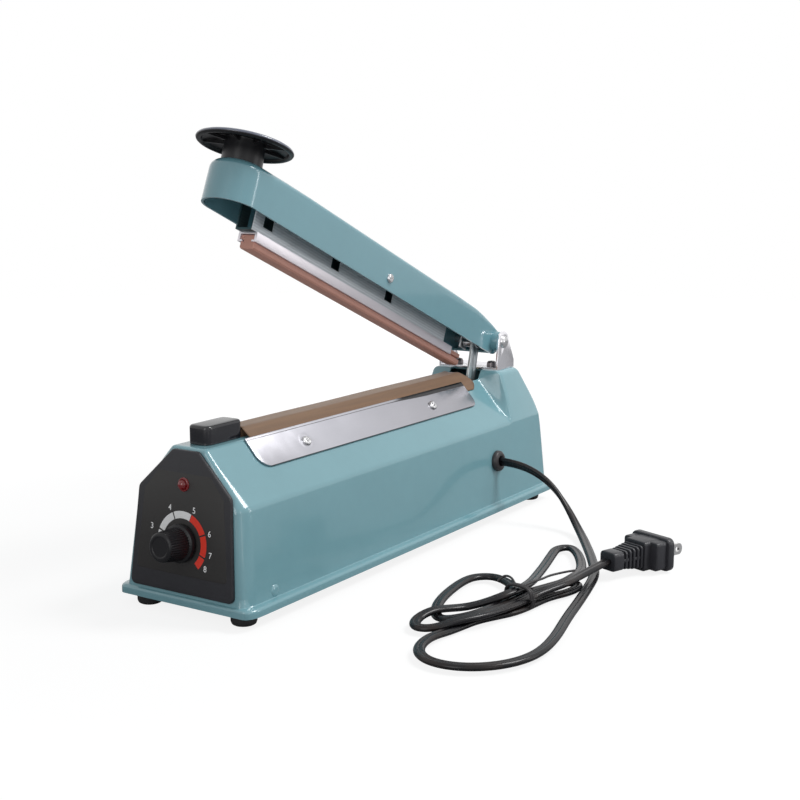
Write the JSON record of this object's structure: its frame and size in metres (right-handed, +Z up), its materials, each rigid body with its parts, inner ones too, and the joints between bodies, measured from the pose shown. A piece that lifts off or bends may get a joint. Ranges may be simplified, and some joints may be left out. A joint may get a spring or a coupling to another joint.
{
  "type": "impulse heat sealer",
  "caption": "Bench impulse heat sealer: ridged metal housing with a cloth-covered heater bar, a hinged press arm with a round handle, a dial timer and a mains cord.",
  "frame": {"origin": "on the bench under the middle of the machine, with the timer knob counted in its length and the free cord left out", "axes": "+Z up, +Y from the control end to the hinge end, +X to the side that the cord leaves"},
  "size_m": [0.2201, 0.3366, 0.2427],
  "materials": {
    "teal_paint": "gloss",
    "floor_zinc": "dull zinc plate",
    "black_rubber": "matt",
    "steel_screw": "zinc plate",
    "dark_screw": "blackened",
    "black_panel": "satin",
    "grey_label": "satin",
    "red_lens": "gloss",
    "black_plastic": "satin",
    "brown_laminate": "satin",
    "green_board": "lacquer",
    "dark_parts": "satin",
    "brass_parts": "plain",
    "iron_core": "laminated sheet",
    "copper_coil": "taped winding",
    "ivory_plastic": "satin",
    "cover_cloth": "coated glass cloth",
    "nickel_ribbon": "bright",
    "white_sleeve": "sleeved",
    "chrome_plate": "polished",
    "zinc_strap": "zinc plate",
    "grey_carrier": "plated sheet",
    "aluminium_channel": "mill",
    "silicone": "matt",
    "spring_steel": "bright",
    "cord_sheath": "satin",
    "plug_plastic": "satin",
    "plug_metal": "nickel plate"
  },
  "bodies": {
    "base": {"housing": "teal_paint", "floor_plate": "floor_zinc", "rubber_feet": "black_rubber", "foot_screws": "steel_screw", "foot_nuts": "steel_screw", "control_panel": "black_panel", "panel_label": "grey_label", "pilot_lamp": "red_lens", "lamp_holder": "black_plastic", "timer_control": "brown_laminate", "timer_nut": "steel_screw", "circuit_board": "green_board", "board_components": "dark_parts", "board_spacers": "brass_parts", "transformer_core": "iron_core", "transformer_coil": "copper_coil", "transformer_frame": "floor_zinc", "transformer_screws": "steel_screw", "terminal_block": "ivory_plastic", "heater_bar": "brown_laminate", "heater_tape": "cover_cloth", "heating_ribbon": "nickel_ribbon", "front_terminal": "brass_parts", "rear_terminal": "brass_parts", "heater_leads": "white_sleeve", "cover_cloth": "cover_cloth", "clamp_plate_right": "chrome_plate", "clamp_plate_left": "chrome_plate", "clamp_screws": "chrome_plate", "front_block": "black_plastic", "hinge_bracket": "chrome_plate", "bracket_screws": "dark_screw", "hinge_pin": "chrome_plate", "return_spring": "spring_steel", "spring_bracket": "floor_zinc", "micro_switch": "black_plastic", "cord_grommet": "black_rubber", "cord_clip": "ivory_plastic", "cord_lead": "cord_sheath", "cord_hank": "cord_sheath", "cord_tail": "cord_sheath", "twist_tie": "cord_sheath", "plug_body": "plug_plastic", "plug_blades": "plug_metal"},
    "arm": {"arm_shell": "teal_paint", "handle_knob": "black_plastic", "handle_screw": "steel_screw", "rocking_screw": "steel_screw", "strap_bracket": "steel_screw", "strap_pin": "chrome_plate"},
    "press_bar": {"press_bar_carrier": "grey_carrier", "press_bar_channel": "aluminium_channel", "rubber_strip": "silicone", "channel_rivets": "steel_screw"},
    "strap": {"pull_strap": "zinc_strap"},
    "timer": {"timer_knob": "black_plastic", "timer_shaft": "steel_screw"},
    "button": {"switch_button": "ivory_plastic"}
  },
  "joints": [
    {"name": "arm_hinge", "type": "hinge", "parent": "base", "child": "arm", "pos_m": [0, 0.13581, 0.108], "axis": [1, 0, 0], "range_deg": [0, 19.93], "stiffness_Nm_per_rad": 1.2, "springref_deg": -45.84, "deforming": ["return_spring"]},
    {"name": "press_bar_rock", "type": "hinge", "parent": "arm", "child": "press_bar", "pos_m": [0, 0.01128, 0.15752], "axis": [1, 0, 0], "range_deg": [0, 2.58]},
    {"name": "strap_link", "type": "hinge", "parent": "arm", "child": "strap", "pos_m": [0.0078, 0.12281, 0.1075], "axis": [1, 0, 0], "range_deg": [-19.98, 0]},
    {"name": "switch_press", "type": "slide", "parent": "base", "child": "button", "axis": [0, 0, -1], "range_m": [0, 0.001]},
    {"name": "timer_turn", "type": "hinge", "parent": "base", "child": "timer", "pos_m": [0, -0.14998, 0.038], "axis": [0, -0.9959, 0.0906], "range_deg": [-150, 150]}
  ],
  "couplings": [
    {"joint": "press_bar_rock", "follows": "arm_hinge", "ratio": 0.12874},
    {"joint": "strap_link", "follows": "arm_hinge", "ratio": -1},
    {"joint": "switch_press", "follows": "arm_hinge", "m_per_rad": 0.0028743}
  ]
}
